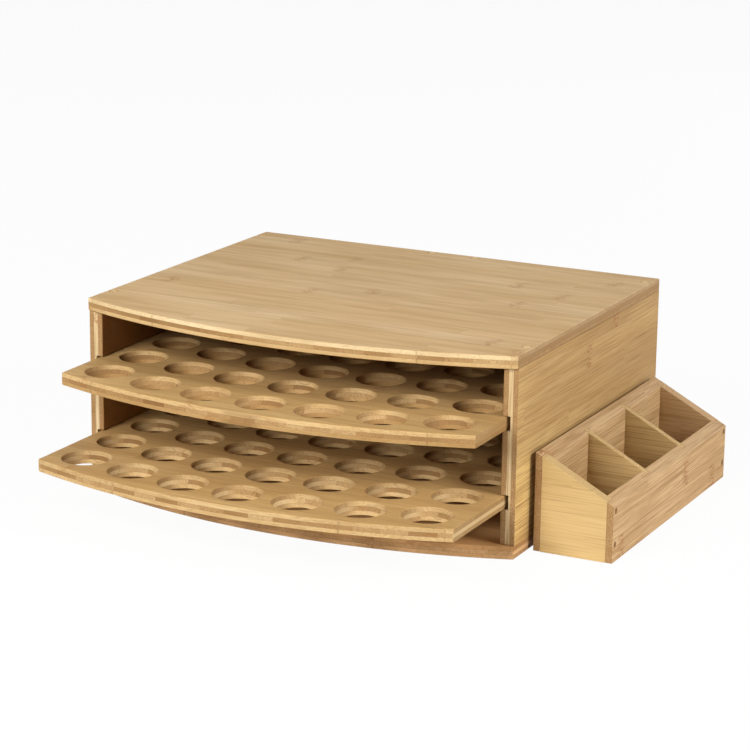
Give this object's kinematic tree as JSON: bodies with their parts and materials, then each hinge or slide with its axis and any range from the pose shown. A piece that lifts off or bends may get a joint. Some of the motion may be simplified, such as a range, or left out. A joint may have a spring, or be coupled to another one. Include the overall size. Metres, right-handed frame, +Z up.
{
  "type": "coffee pod drawer",
  "caption": "Bow-fronted bamboo cabinet with pull-out trays of round pod holes sliding in grooves, and a free-standing caddy with a sloped top and divided bays beside it.",
  "frame": {"origin": "on the cabinet's underside, in the middle of its width and halfway along its straight sides", "axes": "+Z up, +X towards the caddy, -Y out of the bowed front"},
  "size_m": [0.4615, 0.4275, 0.1645],
  "materials": {
    "bamboo_boards": "satin",
    "bamboo_sides": "satin",
    "bamboo_trays": "satin",
    "bamboo_caddy": "satin",
    "bamboo_pegs": "satin",
    "dark_pins": "satin"
  },
  "bodies": {
    "cabinet": {"top_board": "bamboo_boards", "base_board": "bamboo_boards", "left_side_panel": "bamboo_sides", "right_side_panel": "bamboo_sides", "back_panel": "bamboo_sides", "top_pegs": "bamboo_pegs", "base_pegs": "bamboo_pegs", "caddy_inner_wall": "bamboo_caddy", "caddy_outer_wall": "bamboo_caddy", "caddy_front_end": "bamboo_caddy", "caddy_rear_end": "bamboo_caddy", "caddy_front_divider": "bamboo_caddy", "caddy_rear_divider": "bamboo_caddy", "caddy_floor": "bamboo_caddy", "caddy_inner_pins": "dark_pins", "caddy_outer_pins": "dark_pins"},
    "upper_tray": {"upper_tray": "bamboo_trays"},
    "lower_tray": {"lower_tray": "bamboo_trays"}
  },
  "joints": [
    {"name": "upper_tray_slide", "type": "slide", "parent": "cabinet", "child": "upper_tray", "axis": [0, -1, 0], "range_m": [-0.052, 0.148]},
    {"name": "lower_tray_slide", "type": "slide", "parent": "cabinet", "child": "lower_tray", "axis": [0, -1, 0], "range_m": [-0.0885, 0.1115]}
  ]
}
